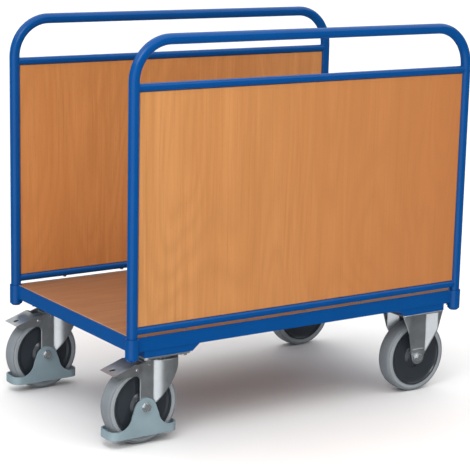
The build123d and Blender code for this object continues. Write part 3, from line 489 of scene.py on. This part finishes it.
def make_socket_welds():
    """Upright beads where the rails' outer faces run into the corner sockets."""
    across, deep = Vector((1, 0, 0)), Vector((0, 1, 0))
    first_share, added_share = SOCKET_TAPER

    def bead(shape, x, y, rail_low, rail_high):
        low_z, high_z = rail_low.z + SOCKET_BEAD_INSET, rail_high.z - SOCKET_BEAD_INSET
        count = int((high_z - low_z) / SOCKET_BEAD_STEP)
        rings = []
        for k in range(count + 1):
            point = Vector((x, y, low_z + (high_z - low_z) * k / count))
            taper = min(1.0, first_share + added_share * min(k, count - k))
            wave = 1 + SOCKET_RIPPLE * math.cos(SOCKET_RIPPLE_TURN * k)
            thick = SOCKET_BEAD * taper * wave * random.uniform(*SOCKET_SPREAD)
            rings.append(bead_section(point, thick, across, deep))
        skin(shape, rings, ends="capped")

    def build(shape):
        for row, y_sign in (("near", -1), ("far", 1)):
            for end, x_sign in (("swivel", -1), ("fixed", 1)):
                socket = middle(f"{row}_{end}_socket")
                radius = size(f"{row}_{end}_socket").x / 2
                low, high = corners(f"{row}_rail")
                y = low.y if y_sign < 0 else high.y
                reach = half_chord(radius, y - socket.y)
                bead(shape, socket.x - x_sign * reach, y, low, high)
                low, high = corners(f"{end}_end_rail")
                x = low.x if x_sign < 0 else high.x
                reach = half_chord(radius, x - socket.x)
                bead(shape, x, socket.y - y_sign * reach, low, high)

    add_piece("socket_welds", mesh_of("socket_welds", build), finishes["blue_coat"],
              "cart", crease=60)


def make_edge_band():
    """Pale banding glued round the deck board's edge, just proud of its top face; its pale
    tone is partly the banding's own, partly painted highlight on the board's edge.
    """
    low, high = corners("deck_board")
    top = high.z + BAND_PROUD
    profile = ((0, low.z), (0, high.z - BAND_EASE_DOWN), (BAND_EASE_IN, top),
               (BAND_WIDTH, top), (BAND_WIDTH, high.z - BAND_DEPTH))

    def build(shape):
        rings = []
        for inset, z in profile:
            left, right = low.x + inset, high.x - inset
            front, back = low.y + inset, high.y - inset
            rings.append([(left, front, z), (right, front, z), (right, back, z),
                          (left, back, z)])
        skin(shape, rings, ends="open")

    add_piece("deck_edge_band", mesh_of("deck_edge_band", build),
              beech("edge_band", LONG_GRAIN, *BAND_BEECH_AND_HIGHLIGHT, rough=0.4),
              "cart", crease=30)


for corner in ("near_swivel", "far_swivel", "near_fixed", "far_fixed"):
    make_tyre(f"{corner}_tyre", f"{corner}_wheel")
make_frame_welds("near")
make_frame_welds("far")
make_socket_welds()
make_edge_band()

# ------------------------------------------------------- floor, camera, lights
FLOOR_SPAN = 60.0
BACKDROP_RADIUS = 28.0
BACKDROP_HEIGHT = 14.0
BACKDROP_SIDES = 96

# The camera's place in lengths of the trolley, and its yaw, pitch and roll in degrees.
CAMERA_PLACE = (-2.202, -3.277, 1.238)
CAMERA_TURN = (56.01, -12.07, 1.26)
CAMERA_LENS = 124.3
CAMERA_SENSOR = 36.0
CAMERA_REACH = 100.0

KEY_PLACE = (-1.35, -1.15, 2.0)
KEY_TARGET = (-0.3, 0.1, 0.5)
KEY_SIDE = 0.9
KEY_POWER = 12.5
SUN_STRENGTH = 3.15
SUN_SPREAD = 120

# The sky grows brighter from the horizon up and towards the middle of the glow. Each
# row is a ramp's start and end, then its strength at both.
SKY_RAMP = (-0.05, 0.9, 0.12, 0.36)
GLOW_RAMP = (0.7, 0.97, 0.0, 1.5)
GLOW_DIRECTION = (-0.74, -0.65, -0.12)


def make_floor():
    """Plain pale floor."""
    m = Material("studio_floor")
    tone = m.mix(m.noise(m.place, scale=3, detail=2), *FLOOR_TONES)
    mesh = bpy.data.meshes.new("studio_floor")
    half = FLOOR_SPAN / 2
    square = [(-half, -half, 0), (half, -half, 0), (half, half, 0), (-half, half, 0)]
    mesh.from_pydata(square, [], [(0, 1, 2, 3)])
    mesh.materials.append(m.surface(tone, 0.6, Specular_IOR_Level=0.15))
    floor = link_object("studio_floor", mesh)
    floor.visible_glossy = False


def make_backdrop():
    """Pale wall far round the floor, seen only directly, for low viewing angles."""
    foot = [(BACKDROP_RADIUS * math.cos(turn), BACKDROP_RADIUS * math.sin(turn), 0)
            for turn in circle(BACKDROP_SIDES)]
    head = [(x, y, BACKDROP_HEIGHT) for x, y, _ in foot]
    faces = []
    for k in range(BACKDROP_SIDES):
        after = (k + 1) % BACKDROP_SIDES
        faces.append((k, after, after + BACKDROP_SIDES, k + BACKDROP_SIDES))
    mesh = bpy.data.meshes.new("studio_backdrop")
    mesh.from_pydata(foot + head, [], faces)
    mesh.materials.append(Material("studio_backdrop").surface(
        BACKDROP_TONE, 1.0, Emission_Color=WHITE, Emission_Strength=0.6))
    wall = link_object("studio_backdrop", mesh)
    wall.visible_glossy = wall.visible_diffuse = wall.visible_shadow = False
    wall.visible_transmission = wall.visible_volume_scatter = False


def make_camera():
    """Long lens a little above the hoops, about 34 degrees off the long sides."""
    length = cad_high[0] - cad_low[0]
    yaw, pitch, roll = (math.radians(a) for a in CAMERA_TURN)
    ahead = Vector((math.cos(pitch) * math.cos(yaw), math.cos(pitch) * math.sin(yaw),
                    math.sin(pitch)))
    right = Vector((math.sin(yaw), -math.cos(yaw), 0))
    up = right.cross(ahead)
    side = right * math.cos(roll) + up * math.sin(roll)
    top = up * math.cos(roll) - right * math.sin(roll)
    turn = Matrix((side, top, -ahead)).transposed().to_4x4()
    data = bpy.data.cameras.new("camera")
    data.sensor_width = CAMERA_SENSOR
    data.lens = CAMERA_LENS
    data.clip_end = CAMERA_REACH
    camera = link_object("camera", data)
    camera.matrix_world = Matrix.Translation(length * Vector(CAMERA_PLACE)) @ turn
    bpy.context.scene.camera = camera


def make_lights():
    """Square key light from the front left and a very soft sun straight above."""
    data = bpy.data.lights.new("key", "AREA")
    data.shape = "RECTANGLE"
    data.size = data.size_y = KEY_SIDE
    data.energy = KEY_POWER
    key = link_object("key", data)
    key.location = KEY_PLACE
    ahead = Vector(KEY_TARGET) - Vector(KEY_PLACE)
    key.rotation_euler = ahead.to_track_quat("-Z", "Y").to_euler()
    data = bpy.data.lights.new("overhead", "SUN")
    data.energy = SUN_STRENGTH
    data.angle = math.radians(SUN_SPREAD)
    link_object("overhead", data)


def make_sky():
    """Dim studio surround with a broad glow behind the camera's left shoulder."""
    world = bpy.data.worlds.new("studio")
    world.use_nodes = True
    bpy.context.scene.world = world
    sky = Graph(world.node_tree)
    place = sky.node("ShaderNodeTexCoord").outputs["Generated"]
    towards = sky.node("ShaderNodeVectorMath", operation="DOT_PRODUCT")
    sky.put(place, towards.inputs[0])
    sky.put(Vector(GLOW_DIRECTION).normalized(), towards.inputs[1])
    height = sky.remap(sky.axis(place, "Z"), *SKY_RAMP, interpolation_type="SMOOTHSTEP")
    glow = sky.remap(towards.outputs["Value"], *GLOW_RAMP,
                     interpolation_type="SMOOTHSTEP")
    background = sky.tree.nodes["Background"]
    sky.put(sky.math("ADD", height, glow), background.inputs["Strength"])
    sky.put(WHITE, background.inputs["Color"])


make_floor()
make_backdrop()
make_camera()
make_sky()
make_lights()
bpy.context.scene.view_settings.view_transform = "Standard"
